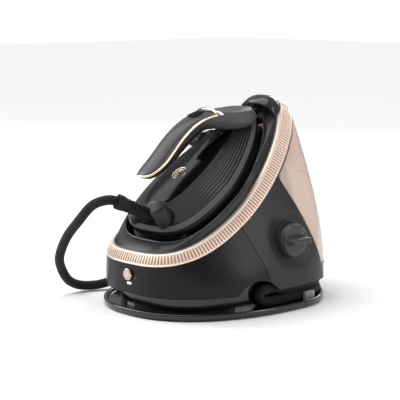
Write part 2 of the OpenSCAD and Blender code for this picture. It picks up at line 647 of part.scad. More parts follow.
// Handle in side view, from the free rear end to the nose: [a, trim height, half width, top height, bottom height]
grip = [[24, 80, 4.5, 81.6, 77.5], [27, 79, 9, 83, 74], [32, 78, 12, 84, 70.5], [42, 77, 14, 85, 67.5],
    [56, 77, grip_hw, 86.6, 65], [70, 79, grip_hw, 88.8, 64], [84, 81.5, grip_hw, 90.5, 64.5],
    [98, 83, grip_hw, 91.2, 65], [116, 83, grip_hw, 89.8, 65.5], [132, 80.5, 15.5, 86, 63], [144, 76.5, 17, 81, 56],
    [152, 72.5, 18.5, 77, 50]];
neck = [[154, 71.5, 19, 77, 48], [162, 66, 23, 72, 40.5], [174, 57, 27, 63.5, 32], [188, 47, 26, 55, 24],
    [200, 39, 22, 48, 21], [209, 33, 15, 41.5, 20.2], [214, 28, 9, 36, 20]];
module loft_sections(list, m, form) {
    on_platform() skin([for (s = list) [for (j = [0:m - 1]) let (p = form(s, j)) [p.x, s[0], p.y]]]);
}
module handle_core() {
    m = 24;
    half = m / 2;
    // upper half follows the trim line on the grip and arches over the neck, lower half is a trough
    form = function (s, j) let (p = 180 * (j % half) / half, up = j < half, neckish = s[0] > 153,
        h = up ? (neckish ? s[3] - s[1] : -0.6) : s[4] - s[1])
        [(up ? 1 : -1) * (s[2] - (neckish ? 0 : 0.2)) * spow(cos(p), 0.9),
         s[1] + h * spow(sin(p), neckish ? 0.9 : 0.75)];
    color("#1b1b1b") difference() {
        loft_sections(concat([for (s = grip) if (s[0] > 26) s], neck), m, form);
        iron_form();
        on_platform() translate([-6, 112, 60]) cube([12, 30, 20]);
    }
}
module handle_shell() {
    m = 14;
    top = [for (s = grip) if (s[0] < 150) s];
    arc = function (s, d) [for (j = [0:m]) let (p = 180 * j / m)
        world([max(0.5, s[2] - d) * spow(cos(p), 0.85), s[0] + (s[0] < 28 ? d : 0),
            s[1] + 1.4 + max(0.3, s[3] - s[1] - 1.4 - d) * spow(sin(p), 0.85)])];
    color("#6b6c6e") skin([for (s = top)
        let (inner = arc(s, 2)) concat(arc(s, 0), [for (j = [m:-1:0]) inner[j]])], "strip");
}
module trim_loop() {
    side = concat([for (s = grip) [s[2], s[0], s[1]]], [[15.5, 153.5, 76.2], [9, 155.5, 78.2]]);
    path = concat(side, [for (i = [len(side) - 1:-1:0]) [-side[i].x, side[i].y, side[i].z]]);
    n = len(path);
    color("#efe0c8") on_platform() skin([for (i = [0:n - 1])
        let (p = path[i], t = path[(i + 1) % n] - path[(i + n - 1) % n], u = [t.y, -t.x, 0] / norm([t.x, t.y]))
        [p + 0.7 * u + [0, 0, 0.15], p + 0.7 * u + [0, 0, 1.2], p - 1.6 * u + [0, 0, 1.2],
         p - 1.6 * u + [0, 0, 0.15]]], "ring");
}
trigger_pivot = [0, 148, 46];
module steam_trigger() {
    color("#2c2c2c") on_platform() translate(trigger_pivot) rotate([90, 0, 90]) difference() {
        translate([0, 0, -7]) linear_extrude(14) polygon([[3, -3], [3, 3], [-4, 6], [-14, 12], [-34, 13],
            [-37, 10], [-34, 7], [-16, 5], [-5, -2]]);
        translate([0, 0, -8]) cylinder(r = 1.5 + fit, h = 16);
    }
}
module trigger_pin() {
    color("silver") on_platform() translate(trigger_pivot) rotate([0, 90, 0]) cylinder(r = 1.5, h = 24, center = true);
}
module trigger_spring() {
    color("silver") on_platform() translate([0, 118, 59.1]) coil(2.4, 0.4, 4, 20.6);
}
module trigger_switch() {
    color("#30506a") on_platform() translate([-5, 126, 71]) cube([10, 12, 8.5]);
}
module mode_switch() {
    color("#0e0e0e") on_platform() translate([0, 136, 85]) rotate([-20, 0, 0]) {
        translate([-6, -8, 0]) cube([12, 16, 2]);
        for (y = [-6:3:6]) translate([-5, y - 0.6, 2]) cube([10, 1.2, 0.8]);
    }
}
module badge_ring() {
    color("#b98f86") on_platform() translate([0, 74, body_top + 0.1]) difference() {
        cylinder(r = 9, h = 0.6);
        translate([0, 0, -1]) cylinder(r = 7.6, h = 3);
    }
}
posts = [[22, 9, 27], [-28, 9, 10]];     // place and height of the two posts on the heel
module heel_posts() {
    color("#3c3c3c") difference() {
        on_platform() for (p = posts) translate([p.x, p.y, skirt_n1 + 1]) {
            cylinder(r = 11, h = p.z);
            translate([0, 0, p.z]) cylinder(r1 = 11, r2 = 9, h = 3);
        }
        iron_form();
    }
}
hose_exit = [-20, -138, 136];           // mouth of the cuff, where the hose leaves the iron
relief_root = [-3, -103, 118];          // where the relief leaves the iron's heel
relief_dir = (hose_exit - relief_root) / norm(hose_exit - relief_root);
module along(a, d) { translate(a) rotate([0, acos(d.z), atan2(d.y, d.x)]) children(); }
module hose_relief() {
    l = norm(hose_exit - relief_root);
    color("#191919") difference() {
        along(relief_root, relief_dir) difference() {
            union() {
                translate([0, 0, -10]) cylinder(r = 7, h = 12);
                cylinder(r1 = 7.5, r2 = 6.4, h = l - 12);
                for (z = [4:4.5:l - 16]) translate([0, 0, z]) cylinder(r = 8.4, h = 2.2);
                translate([0, 0, l - 14]) cylinder(r1 = 8, r2 = 9.6, h = 8);
                translate([0, 0, l - 6]) cylinder(r = 9.6, h = 6);
            }
            translate([0, 0, l - 6.1]) cylinder(r = 7.6, h = 7.1); // 0.1 clear of the hose's end
        }
        iron_form();
    }
}

// ---- hose -----------------------------------------------------------------------------------------
// The hose leaves the iron's heel, swings out beside the base, lies on the table, and goes round the back in
// the channel: over to the other side, folded back, folded once more, and into the outlet at the back.
hose_route = [hose_exit - 6 * relief_dir, hose_exit, [-27, -147.5, 137.5], [-45, -156, 129.5], [-69.5, -158.3, 107],
    [-94.5, -155.8, 85.5], [-117, -150, 60], [-129, -141, 42], [-136.5, -125, 21], [-138.5, -108, 10.5],
    [-134.5, -91, 7], [-127, -76, 8], [-120, -62, 12], [-112, -50, 15.6], [-104, -34, 15.5], [-102, -14, 13],
    [-103, 38, 11.5], [-101.5, 68, 11.5], [-94, 91, 11.5], [-81, 107.5, 11.5], [-62.5, 118.5, 11.5],
    [-38, 125.2, 11.5], [0, 127.2, 11.5], [38, 125.2, 11.5], [62.5, 118.5, 11.5], [81, 107.5, 11.5], [94, 91, 11.5],
    [101.5, 68, 11.5], [103, 38, 11.5], [102.4, 12, 11.2], [101.4, -6, 11.5], [100.6, -13.5, 14.4],
    [100.3, -16.6, 20.2], [100.5, -13.5, 26], [101.2, -6, 28.8], [102.2, 6, 27.4], [102.8, 20, 24.8],
    [103, 38, 23.8], [101.5, 68, 23.8], [94, 91, 23.8], [81, 107.5, 23.8], [62.5, 118.5, 23.8], [38, 125.2, 23.8],
    [0, 127.2, 23.8], [-38, 125.2, 23.8], [-62.5, 118.5, 23.8], [-81, 107.5, 23.8], [-94, 91, 23.8],
    [-101.5, 68, 23.8], [-103, 38, 23.9], [-103, 18, 23.9], [-102.5, 9, 24.5], [-102, 4.2, 27.2],
    [-101.8, 2.4, 31], [-102, 4.2, 34.8], [-102.5, 9, 37.4], [-103, 18, 37.8], [-103, 38, 36.4],
    [-101.5, 68, 36], [-94, 91, 36], [-81, 107.5, 36], [-62.5, 118.5, 36], [-38, 125.2, 36], [0, 127.2, 36],
    [18, 125.4, 36], [30, 125.4, 36]];
module hose() { color("#242424") sweep(smooth(hose_route, 38), hose_d / 2, 10); }

base_tray();
rubber_feet();
hose_channel();
body_shell();
side_panel_right();
side_panel_left();
trim_ring();
collar();
platform();
platform_pads();
nose_hood();
release_button();
latch_lever();
latch_pin();
latch_spring();
chassis();
boiler();
boiler_mounts();
boiler_heater();
safety_valve();
pump();
steam_valve();
water_tubes();
steam_tube();
drain_pipe();
main_board();
control_board();
power_button();
button_ring();
button_spring();
indicator_lens();
drain_socket();
drain_plug();
plug_seal();
descaling_knob();
water_tank();
filling_door();
door_pin();
tank_valve();
valve_socket();
hose_outlet();
mains_inlet();
hose_clip();
body_screws();
soleplate();
steam_chamber();
heat_skirt();
iron_body();
handle_core();
handle_shell();
trim_loop();
steam_trigger();
trigger_pin();
trigger_spring();
trigger_switch();
mode_switch();
badge_ring();
heel_posts();
hose_relief();
hose();
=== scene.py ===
"""A steam generator iron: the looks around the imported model. Metres, -Y faces the power button, +Z is up."""

import math

import bpy
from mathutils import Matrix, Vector

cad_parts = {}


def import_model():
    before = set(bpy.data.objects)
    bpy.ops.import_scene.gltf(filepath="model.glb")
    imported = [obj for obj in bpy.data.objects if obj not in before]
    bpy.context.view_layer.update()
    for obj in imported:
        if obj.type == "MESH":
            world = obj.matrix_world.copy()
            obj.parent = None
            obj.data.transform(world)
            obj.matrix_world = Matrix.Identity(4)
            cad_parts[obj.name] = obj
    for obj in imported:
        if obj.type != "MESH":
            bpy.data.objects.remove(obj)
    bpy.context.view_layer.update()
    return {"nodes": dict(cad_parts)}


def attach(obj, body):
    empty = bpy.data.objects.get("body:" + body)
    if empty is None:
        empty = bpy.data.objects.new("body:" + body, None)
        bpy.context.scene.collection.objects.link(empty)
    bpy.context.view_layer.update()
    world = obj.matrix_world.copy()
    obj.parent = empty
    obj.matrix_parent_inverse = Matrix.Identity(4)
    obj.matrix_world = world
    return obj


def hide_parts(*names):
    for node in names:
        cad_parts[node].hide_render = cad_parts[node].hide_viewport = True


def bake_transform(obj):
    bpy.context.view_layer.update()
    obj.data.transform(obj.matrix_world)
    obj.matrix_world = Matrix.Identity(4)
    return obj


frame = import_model()

# ---- camera ------------------------------------------------------------------------------------------
# A long lens looks at the right front corner of the base from a little above the table.
azimuth, elevation, distance = math.radians(46), math.radians(9), 1.640
aim = Vector((0, 0, 0.125))
level_way = Vector((math.sin(azimuth), -math.cos(azimuth), 0))
sight = math.cos(elevation) * level_way + Vector((0, 0, math.sin(elevation)))
bpy.ops.object.camera_add(location=aim + distance * sight)
camera = bpy.context.object
camera.rotation_euler = sight.to_track_quat("Z", "Y").to_euler()
camera.data.lens = 117.2
camera.data.shift_x = -0.0283
camera.data.shift_y = -0.001
bpy.context.scene.camera = camera


# ---- steam hose --------------------------------------------------------------------------------------
# A rubber tube in a braided black textile sleeve. It comes out of the iron's heel, swings down to the table
# and goes round the back of the base in its channel, folded over twice, up to the steam outlet.
MM = 0.001
hose_d = 12


def curve(route, step):
    """Catmull-Rom curve through a route's points, with a point at least every step."""
    last = len(route) - 1
    points = []
    for i in range(last):
        a, b, c, d = (Vector(route[min(last, max(0, k))]) for k in range(i - 1, i + 3))
        parts = math.ceil((c - b).length / step)
        for k in range(parts):
            t = k / parts
            points.append(0.5 * (2 * b + (c - a) * t + (2 * a - 5 * b + 4 * c - d) * t * t
                                 + (3 * b - a - 3 * c + d) * t ** 3))
    return points + [Vector(route[-1])]


def tube_rows(path, radius, sides):
    """Rings of points around a path, turned from one to the next without twist."""
    rows = []
    up = Vector((0.1, 0.3, 1))
    for i, point in enumerate(path):
        ahead = (path[min(len(path) - 1, i + 1)] - path[max(0, i - 1)]).normalized()
        up = (up - up.dot(ahead) * ahead).normalized()
        across = ahead.cross(up)
        turns = [j * math.tau / sides for j in range(sides)]
        rows.append([point + radius * (math.cos(q) * up + math.sin(q) * across) for q in turns])
    return rows


def surface(name, rows, wrap=False, caps=False, heart=None, wall=0, smooth=40, tones=None):
    """A grid primitive whose vertices are laid on rows of points in millimetres; wrap joins the ends of each
    row, caps closes the first and last row, heart is a point inside it, wall its thickness inwards. tones
    gives each point a number that a finish can read."""
    if wrap:
        rows = [list(row) + [row[0]] for row in rows]
        tones = tones and [list(row) + [row[0]] for row in tones]
    if caps:
        middle = [sum((Vector(p) for p in row), Vector()) / len(row) for row in (rows[0], rows[-1])]
        rows = [[middle[0]] * len(rows[0])] + rows + [[middle[1]] * len(rows[0])]
        tones = tones and [tones[0]] + tones + [tones[-1]]
    across, along = len(rows[0]) - 1, len(rows) - 1
    bpy.ops.object.select_all(action="DESELECT")
    bpy.ops.mesh.primitive_grid_add(x_subdivisions=across, y_subdivisions=along, size=2)
    piece = bpy.context.object
    piece.name = name
    places = [(round((v.co.x + 1) / 2 * across), round((v.co.y + 1) / 2 * along))
              for v in piece.data.vertices]
    for vertex, (i, j) in zip(piece.data.vertices, places):
        vertex.co = Vector(rows[j][i]) * MM
    if tones:
        tone = piece.data.attributes.new("tone", "FLOAT", "POINT")
        tone.data.foreach_set("value", [tones[j][i] for i, j in places])
    bpy.ops.object.mode_set(mode="EDIT")
    bpy.ops.mesh.select_all(action="SELECT")
    bpy.ops.mesh.remove_doubles(threshold=0.000002)
    bpy.ops.object.mode_set(mode="OBJECT")
    if heart is None:
        heart = sum((Vector(p) for row in rows for p in row), Vector()) / (len(rows) * len(rows[0]))
    heart = Vector(heart) * MM
    if sum(f.area * f.normal.dot(f.center - heart) for f in piece.data.polygons) < 0:
        bpy.ops.object.mode_set(mode="EDIT")
        bpy.ops.mesh.select_all(action="SELECT")
        bpy.ops.mesh.flip_normals()
        bpy.ops.object.mode_set(mode="OBJECT")
    if wall:
        shell = piece.modifiers.new("wall", "SOLIDIFY")
        shell.thickness = wall * MM
        shell.offset = -1
        bpy.ops.object.modifier_apply(modifier="wall")
    if smooth:
        bpy.ops.object.shade_smooth_by_angle(angle=math.radians(smooth))
    return piece


class Link:
    """A node socket that takes part in sums; every operation adds a Math node."""

    def __init__(self, maker, socket):
        self.maker, self.socket = maker, socket

    def _sum(self, kind, a, b):
        return self.maker.node("ShaderNodeMath", {"operation": kind}, {0: a, 1: b})

    def __add__(self, other):
        return self._sum("ADD", self, other)

    def __sub__(self, other):
        return self._sum("SUBTRACT", self, other)

    def __rsub__(self, other):
        return self._sum("SUBTRACT", other, self)

    def __mul__(self, other):
        return self._sum("MULTIPLY", self, other)

    __radd__, __rmul__ = __add__, __mul__

    def fold(self, kind, other=0.0):
        return self._sum(kind, self, other)


class Finish:
    """A material with its shader; node() adds any other node and gives its chosen output."""

    def __init__(self, name, **values):
        self.material = bpy.data.materials.new(name)
        self.material.use_nodes = True
        self.tree = self.material.node_tree
        self.shader = next(n for n in self.tree.nodes if n.type == "BSDF_PRINCIPLED")
        for key, value in values.items():
            self.shader.inputs[key.replace("_", " ")].default_value = value

    def node(self, kind, settings, sockets, output=0):
        made = self.tree.nodes.new(kind)
        for key, value in settings.items():
            setattr(made, key, value)
        for key, value in sockets.items():
            if isinstance(value, Link):
                self.tree.links.new(value.socket, made.inputs[key])
            else:
                made.inputs[key].default_value = value
        return Link(self, made.outputs[output])

    def place(self, scale=(1, 1, 1), source="Object"):
        at = self.node("ShaderNodeTexCoord", {}, {}, source)
        return self.node("ShaderNodeMapping", {}, {"Vector": at, "Scale": scale})

    def noise(self, grain, detail=3, scale=(1, 1, 1)):
        return self.node("ShaderNodeTexNoise", {},
                         {"Vector": self.place(scale), "Scale": grain, "Detail": detail})

    def blend(self, amount, a, b):
        return self.node("ShaderNodeMix", {"data_type": "RGBA"}, {0: amount, 6: a, 7: b}, 2)

    def feed(self, **links):
        for key, link in links.items():
            self.tree.links.new(link.socket, self.shader.inputs[key.replace("_", " ")])

    def relief(self, height, strength, depth):
        bump = self.node("ShaderNodeBump", {}, {"Strength": strength, "Distance": depth, "Height": height})
        self.feed(Normal=bump)


def moulded(name, colour, roughness, grain=1500, strength=0.12):
    """Moulded plastic: a fine eroded grain, with a little change in colour and gloss from place to place."""
    finish = Finish(name, IOR=1.46, Specular_IOR_Level=0.28)
    cloud = finish.noise(9, 2)
    shade = tuple(c * 0.82 for c in colour)
    finish.feed(Base_Color=finish.blend(cloud, (*shade, 1), (*colour, 1)),
                Roughness=roughness + 0.10 * (cloud - 0.5))
    finish.relief(finish.noise(grain, 2), strength, 0.00006)
    return finish.material


def metal(name, colour, roughness, scale=(1, 1, 1)):
    """Bare or coloured metal with faint drawn streaks along one axis."""
    finish = Finish(name, Metallic=1.0)
    streak = finish.noise(320, 3, scale=scale)
    finish.feed(Base_Color=finish.blend(streak, (*(c * 0.8 for c in colour), 1), (*colour, 1)),
                Roughness=roughness + 0.14 * (streak - 0.5))
    finish.relief(streak, 0.08, 0.00005)
    return finish.material


def dress(piece, material, body, slot, *nodes):
    """Gives a piece its material, the body it rides on, and the CAD nodes it stands for, which it hides; slot
    is not used.
    """
    piece.data.materials.clear()
    piece.data.materials.append(material)
    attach(piece, body)
    if nodes:
        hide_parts(*nodes)
    return piece


relief_root, hose_exit = Vector((-3, -103, 118)), Vector((-20, -138, 136))
relief_way = (hose_exit - relief_root).normalized()
hose_route = [hose_exit - 6 * relief_way, hose_exit, (-27, -147.5, 137.5), (-45, -156, 129.5),
              (-69.5, -158.3, 107), (-94.5, -155.8, 85.5), (-117, -150, 60), (-129, -141, 42),
              (-136.5, -125, 21), (-138.5, -108, 10.5), (-134.5, -91, 7), (-127, -76, 8), (-120, -62, 12),
              (-112, -50, 15.6), (-104, -34, 15.5), (-102, -14, 13), (-103, 38, 11.5), (-101.5, 68, 11.5),
              (-94, 91, 11.5), (-81, 107.5, 11.5), (-62.5, 118.5, 11.5), (-38, 125.2, 11.5), (0, 127.2, 11.5),
              (38, 125.2, 11.5), (62.5, 118.5, 11.5), (81, 107.5, 11.5), (94, 91, 11.5), (101.5, 68, 11.5),
              (103, 38, 11.5), (102.4, 12, 11.2), (101.4, -6, 11.5), (100.6, -13.5, 14.4),
              (100.3, -16.6, 20.2), (100.5, -13.5, 26), (101.2, -6, 28.8), (102.2, 6, 27.4),
               (102.8, 20, 24.8), (103, 38, 23.8), (101.5, 68, 23.8), (94, 91, 23.8),
               (81, 107.5, 23.8), (62.5, 118.5, 23.8),
              (38, 125.2, 23.8), (0, 127.2, 23.8), (-38, 125.2, 23.8), (-62.5, 118.5, 23.8),
              (-81, 107.5, 23.8), (-94, 91, 23.8), (-101.5, 68, 23.8), (-103, 38, 23.9), (-103, 18, 23.9),
              (-102.5, 9, 24.5), (-102, 4.2, 27.2), (-101.8, 2.4, 31), (-102, 4.2, 34.8), (-102.5, 9, 37.4),
              (-103, 18, 37.8), (-103, 38, 36.4), (-101.5, 68, 36), (-94, 91, 36), (-81, 107.5, 36),
              (-62.5, 118.5, 36), (-38, 125.2, 36), (0, 127.2, 36), (18, 125.4, 36), (30, 125.4, 36)]
hose_path = curve(hose_route, 4)
hose_length = sum((b - a).length for a, b in zip(hose_path, hose_path[1:]))
hose = surface("steam_hose", tube_rows(hose_path, hose_d / 2, 20), wrap=True, caps=True, smooth=60)
braid = Finish("braided_sleeve", Sheen_Weight=0.06, Sheen_Roughness=0.5, IOR=1.4, Specular_IOR_Level=0.35)
turns = hose_length / (math.pi * hose_d)
strand = braid.place((14, 14 * turns, 1), "UV")
round_it = braid.node("ShaderNodeSeparateXYZ", {}, {"Vector": strand})
along_it = Link(braid, round_it.socket.node.outputs[1])
left = (math.tau * (round_it + along_it)).fold("SINE")
right = (math.tau * (round_it - along_it)).fold("SINE")
weave = 0.5 + 0.5 * (left * right)
braid.feed(Base_Color=braid.blend(weave, (0.004, 0.004, 0.0042, 1), (0.013, 0.013, 0.0135, 1)),
           Roughness=0.78 - 0.18 * weave)
braid.relief(weave, 0.7, 0.0006)
hose.data.materials.append(braid.material)
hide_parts("hose")
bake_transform(hose)
hose_route[0] * MM
[p * MM for p in hose_path]

# ---- base tray ---------------------------------------------------------------------------------------
# The tray that carries the whole base: one gloss black moulding with a low raised lip, standing on four
# rubber feet pressed into its underside.
tray_o = (250, 142, 142, 40, 2.3, 2.0)
body_o = (226, 136, 137, 38, 2.6, 2.8)
FULL = math.tau


def spow(value, power):
    return math.copysign(abs(value) ** power, value)


def mix(a, b, t):
    return a + (b - a) * t


def clamp(value, low=0.0, high=1.0):
    return min(high, max(low, value))


def ease(value):
    t = clamp(value)
    return t * t * (3 - 2 * t)


def egg(q, o, d=0.0):
    """Point at angle q of an egg outline: its width, its reach to the front and back, the y of its widest
    place, and the powers of its front and back."""
    back = math.sin(q) > 0
    reach = o[2] - o[3] - d if back else o[3] + o[1] - d
    power = 2 / (o[5] if back else o[4])
    return Vector(((o[0] / 2 - d) * spow(math.cos(q), power), o[3] + reach * spow(math.sin(q), power), 0))


def refinish(material, *nodes):
    """Gives CAD nodes that stay visible their finish."""
    for name in nodes:
        node = frame["nodes"][name]
        node.data.materials.clear()
        node.data.materials.append(material)


def at_height(point, z):
    return Vector((point.x, point.y, z))


tray_section = [(6, 1.5), (2, 1.6), (0.6, 2.2), (0, 3.4), (0, 7.4), (0.3, 8.3), (1.1, 8.9), (2.2, 9),
                (3.6, 9), (4.5, 8.6), (5, 7.8), (5, 6), (5.6, 5.2), (7, 5), (24, 5)]
tray_rows = [[at_height(egg(FULL * i / 200, tray_o, d), z) for i in range(200)] for d, z in tray_section]
tray = surface("tray", tray_rows, wrap=True, caps=True, heart=(0, 0, 5), smooth=50)
gloss_black = Finish("gloss_black_moulding", IOR=1.5, Coat_Weight=0.4, Coat_Roughness=0.05)
wear = gloss_black.noise(14, 3)
gloss_black.feed(Base_Color=gloss_black.blend(wear, (0.0045, 0.0045, 0.005, 1), (0.008, 0.008, 0.0085, 1)),
                 Roughness=0.13 + 0.09 * wear)
dress(tray, gloss_black.material, "base", "tray_black", "base_tray")
refinish(moulded("foot_rubber", (0.012, 0.012, 0.012), 0.7), "rubber_feet")

# ---- plinth and hose channel -------------------------------------------------------------------------
# The inset wall under the shells that the folded hose runs round, with a roof over the channel. A black
# moulding clipped to the tray; the steam outlet and the mains inlet stand in it at the back.
inner_black = moulded("plinth_black", (0.008, 0.008, 0.008), 0.5)
refinish(gloss_black.material, "hose_channel")
refinish(inner_black, "hose_outlet", "mains_inlet", "valve_socket", "chassis")

# ---- body shell --------------------------------------------------------------------------------------
# The satin black front cover, one thin moulding from the left parting line round the front to the right
# one. It turns in towards the ring over its height and is arched on both sides where the hose tucks in.
ring_o = (172, 138, 130, -26, 2.85, 1.75)
ring_low, ring_rise = 63, 175
body_z, shell_wall, seam = 26, 2.5, 0.4


def ring_z(y):
    t = (y + ring_o[1]) / (ring_o[1] + ring_o[2])
    return ring_low + ring_rise * (0.26 * t + t * t - 0.26 * t ** 3)


def wall(q, z, d=0.0):
    """Outer wall of the base at angle q and height z, moved inwards by d."""
    top = ring_z(egg(q, ring_o).y)
    k = clamp((z - body_z) / (top - body_z)) ** 2.5
    return at_height(mix(egg(q, body_o, d), egg(q, ring_o, d), k), z)


def zero(rising, low, high):
    """Where a rising function crosses zero between low and high."""
    for _ in range(26):
        middle = (low + high) / 2
        low, high = (low, middle) if rising(middle) > 0 else (middle, high)
    return (low + high) / 2


def arch(y):
    return 15 * (1 - clamp((y + 24) / 30, -1, 1) ** 2) ** 0.8


def wall_height(q, t):
    """Height of row t between the shells' lower edge and the ring."""
    return mix(body_z + arch(wall(q, body_z).y), ring_z(egg(q, ring_o).y) - seam, t)


def parting(t, line, shift):
    """Angle where row t of the wall crosses a parting line in side view."""
    def past(q):
        z = wall_height(q, t)
        return wall(q, z).y - line(z) - shift

    return zero(past, math.radians(-70), math.radians(80))


def panel_line(z):
    return 8.6 - 0.393 * z


def tank_line(z):
    return 110.8 - 0.43 * z


def wall_patch(name, q_from, q_to, cols, rows, side=1, dent=lambda point: 0.0):
    """A part of the wall between two parting lines, as a moulding; side -1 mirrors it to the left."""
    grid = []
    for j in range(rows + 1):
        t = j / rows
        first, last = q_from(t), q_to(t)
        row = []
        for i in range(cols + 1):
            q = mix(first, last, i / cols)
            point = wall(q, wall_height(q, t))
            row.append(Vector((side * (point.x - dent(point)), point.y, point.z)))
        grid.append(row)
    return surface(name, grid, heart=(0, 0, 110), wall=shell_wall)


def soften(piece, width, segments=3, angle=40):
    """Rounds a piece's sharp edges a little, so that they catch the light as moulded edges do."""
    bpy.ops.object.select_all(action="DESELECT")
    piece.select_set(True)
    bpy.context.view_layer.objects.active = piece
    edge = piece.modifiers.new("edge", "BEVEL")
    edge.width = width * MM
    edge.segments = segments
    edge.limit_method = "ANGLE"
    edge.angle_limit = math.radians(angle)
    bpy.ops.object.modifier_apply(modifier="edge")
    bpy.ops.object.shade_smooth_by_angle(angle=math.radians(angle))
    return piece


satin_black = moulded("satin_black_shell", (0.0065, 0.0065, 0.0068), 0.34, grain=1800, strength=0.06)
shell = wall_patch("body_shell_cover", lambda t: -math.pi - parting(t, panel_line, -seam / 2),
                   lambda t: parting(t, panel_line, -seam / 2), 150, 30)
dress(soften(shell, 0.5), satin_black, "base", "shell_black", "body_shell")

# ---- side panels -------------------------------------------------------------------------------------
# Two satin dark grey covers between the front shell and the water tank. The right one has a round well
# for the descaling knob, in a soft hollow that lets fingers reach round it.
knob_y, knob_z, knob_r = 37, 83, 20.5
panel_grey = moulded("satin_grey_panel", (0.034, 0.034, 0.035), 0.40, grain=1600, strength=0.08)


quarter = math.pi / 2
well_r, hollow_r, hollow_depth, hollow_slope = knob_r + 1.8, 38, 5.0, 15


def hollow(point):
    away = math.hypot(point.y - knob_y, point.z - knob_z)
    return hollow_depth * ease((hollow_r - away) / hollow_slope)


for side, word, dent in ((1, "right", hollow), (-1, "left", lambda point: 0.0)):
    panel = wall_patch("side_panel_cover_" + word, lambda t: parting(t, panel_line, seam / 2),
                       lambda t: parting(t, tank_line, -seam / 2), 60, 60, side, dent)
    if side > 0:
        bpy.ops.mesh.primitive_cylinder_add(vertices=96, radius=well_r * MM, depth=0.05,
                                            location=(0.105, knob_y * MM, knob_z * MM),
                                            rotation=(0, quarter, 0))
        cutter = bpy.context.object
        hole = panel.modifiers.new("hole", "BOOLEAN")
        hole.object = cutter
        bpy.context.view_layer.objects.active = panel
        bpy.ops.object.modifier_apply(modifier="hole")
        bpy.data.objects.remove(cutter)
    dress(soften(panel, 0.5), panel_grey, "base", "panel_grey", "side_panel_" + word)
refinish(panel_grey, "drain_socket")

# ---- trim ring ---------------------------------------------------------------------------------------
# The copper coloured band round the platform: a plated moulding with a plain bead along each edge and fine
# upright ribs between them. It stops on both sides of the release button at the back.
band_h, band_in, band_t, ring_open = 14, 9, 3, math.radians(15)
ribs = 176


def inward(q, o):
    g = egg(q + 0.009, o) - egg(q - 0.009, o)
    return Vector((-g.y, g.x, 0)).normalized()


def ring_lo(q, d=0.0):
    base = egg(q, ring_o)
    return at_height(base + d * inward(q, ring_o), ring_z(base.y))


def ring_hi(q, d=0.0):
    base = ring_lo(q)
    k = (ring_z(base.y + 1) - ring_z(base.y - 1)) / 2
    return base + band_h * Vector((0, -k, 1)) / math.hypot(1, k) + (band_in + d) * inward(q, ring_o)


def band_loop(q, rib, plain=False):
    """One section of the band at angle q: its outer face from edge to edge, then its back, each point with
    its tone, which is high on a rib or bead and low in a gap; the finish paints the low tones dark as painted
    shade."""
    low, high, out = ring_lo(q), ring_hi(q), -inward(q, ring_o)
    face = []
    for s in (0.0, 0.03, 0.08, 0.13, 0.17, 0.20, 0.30, 0.5, 0.70, 0.80, 0.83, 0.87, 0.92, 0.97, 1.0):
        bead = 0.5 * math.exp(-((min(s, 1 - s) - 0.085) / 0.05) ** 2)
        ribbed = 0 if plain else bead + rib * ease((min(s, 1 - s) - 0.15) / 0.04)
        rise = 0.8 * (1 - (2 * s - 1) ** 2) + ribbed
        face.append((mix(low, high, s) + rise * out, rib if 0.15 < s < 0.85 else 1.0))
    return face + [(ring_hi(q, band_t), 0.0), (ring_lo(q, band_t), 0.0)]


def evenly(point, first, last, count):
    """Angles from first to last that set count equal steps along a curve."""
    fine = [mix(first, last, i / 2000) for i in range(2001)]
    run = [0.0]
    for a, b in zip(fine, fine[1:]):
        run.append(run[-1] + (point(b) - point(a)).length)
    angles, k = [], 0
    for i in range(count + 1):
        goal = run[-1] * i / count
        while k < 1999 and run[k + 1] < goal:
            k += 1
        angles.append(mix(fine[k], fine[k + 1], clamp((goal - run[k]) / (run[k + 1] - run[k]))))
    return angles


ring_from, ring_to = quarter + ring_open, 5 * quarter - ring_open
rib_rise = (0.35, 0.4, 0.4, 0.35, 0.0, -0.5, -0.5, 0.0)
angles = evenly(ring_lo, ring_from, ring_to, ribs * len(rib_rise))
loops = [band_loop(q, rib_rise[i % len(rib_rise)]) for i, q in enumerate(angles)]
ring = surface("trim_ring_ribbed", [[p for p, _ in loop] for loop in loops], wrap=True, caps=True, smooth=35,
               tones=[[t for _, t in loop] for loop in loops])
copper = Finish("copper_plating", Metallic=0.35, IOR=1.5, Coat_Weight=0.1, Coat_Roughness=0.2)
crest = copper.node("ShaderNodeAttribute", {"attribute_name": "tone"}, {}, "Fac")
cloud = copper.noise(30, 3)
plated = copper.blend(0.35 * cloud, (0.96, 0.80, 0.68, 1), (0.86, 0.68, 0.56, 1))
# Painted shade: the low tones between the ribs turn the plating deep brown, over the ribs' real relief.
gap = (0.7 - crest * 2.2).fold("MAXIMUM", 0.0).fold("MINIMUM", 1.0)
copper.feed(Base_Color=copper.blend(gap, plated, (0.46, 0.25, 0.16, 1)), Roughness=0.36 + 0.10 * cloud)
dress(ring, copper.material, "base", "ring_copper", "trim_ring")

# ---- release button ----------------------------------------------------------------------------------
# The silver push button in the ring's gap at the back: pressing it frees the carry latch under the hood.
# A painted moulding with the ring's section, but without ribs.
silver = moulded("silver_paint", (0.50, 0.51, 0.53), 0.30, grain=2600, strength=0.04)
slit = math.radians(1.4)
angles = [mix(quarter - ring_open + slit, quarter + ring_open - slit, i / 40) for i in range(41)]
loops = [[p for p, _ in band_loop(q, 0, True)] for q in angles]
release = surface("release_button_cover", loops, wrap=True, caps=True, smooth=35)
dress(soften(release, 0.4), silver, "release_button", "release_silver", "release_button")

# ---- collar ------------------------------------------------------------------------------------------
# The satin grey funnel between the ring and the iron's resting place, one moulding screwed to the shells
# from below. Its inner wall drops to the platform all round the iron; a thin light grey strip along its outer
# edge is a painted highlight.
tilt, plat_y, plat_z = math.radians(35), -90, 86
rim_o = (153, 14, 226, 84, 3.1, 1.35)
rim_n, rim_t, collar_t = 11, 2.2, 2.2


def world(x, a, n):
    """A point of the platform frame: a runs up the slope, n stands square to it."""
    return Vector((x, plat_y + a * math.cos(tilt) - n * math.sin(tilt),
                   plat_z + a * math.sin(tilt) + n * math.cos(tilt)))


